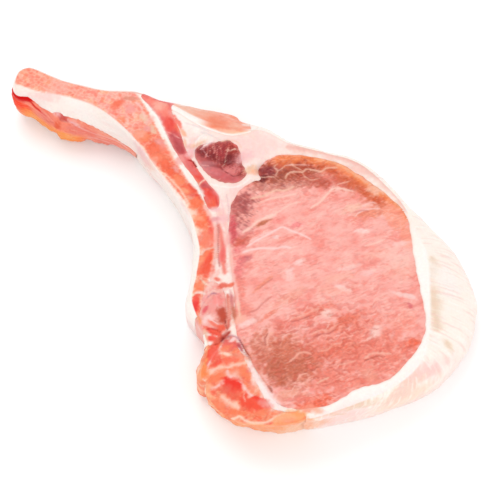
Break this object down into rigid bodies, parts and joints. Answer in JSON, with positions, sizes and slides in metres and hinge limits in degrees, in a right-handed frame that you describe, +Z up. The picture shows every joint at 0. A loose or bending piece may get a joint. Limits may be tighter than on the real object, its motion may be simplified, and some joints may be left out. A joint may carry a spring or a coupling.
{
  "type": "raw lamb rib chop",
  "caption": "Raw bone-in rib chop lying flat: a large round eye of lean ringed by white fat, with a long curved rib bone reaching out to one side.",
  "frame": {"origin": "under the middle of the bounding box, on the lower cut face that the chop lies on", "axes": "+X along the chop from the end of the rib to the fat edge, +Z up through its thickness, so the far side with the outer muscle is +Y"},
  "size_m": [0.1471, 0.0818, 0.02],
  "materials": {
    "eye_lean": "moist pale pink lean with fine white flecks and veins",
    "dark_lean": "moist dark maroon lean with torn fibres",
    "rib_lean": "moist red lean",
    "outer_lean": "moist orange-pink lean",
    "tip_lean": "moist red to orange lean, ragged at its lower edge",
    "cartilage": "smooth translucent pink and white gristle",
    "spongy_bone": "broken spongy bone, red and orange with pale webs",
    "rib_bone": "sawn bone with granular orange marrow, a white wall and a pale membrane",
    "fat": "smooth moist cream-white fat"
  },
  "bodies": {
    "root": {"eye_muscle": "eye_lean", "cap_muscle": "dark_lean", "rib_muscle": "rib_lean", "outer_muscle": "outer_lean", "tip_muscle": "tip_lean", "cartilage": "cartilage", "chine_bone": "spongy_bone", "rib_bone": "rib_bone", "fat": "fat"}
  },
  "joints": []
}
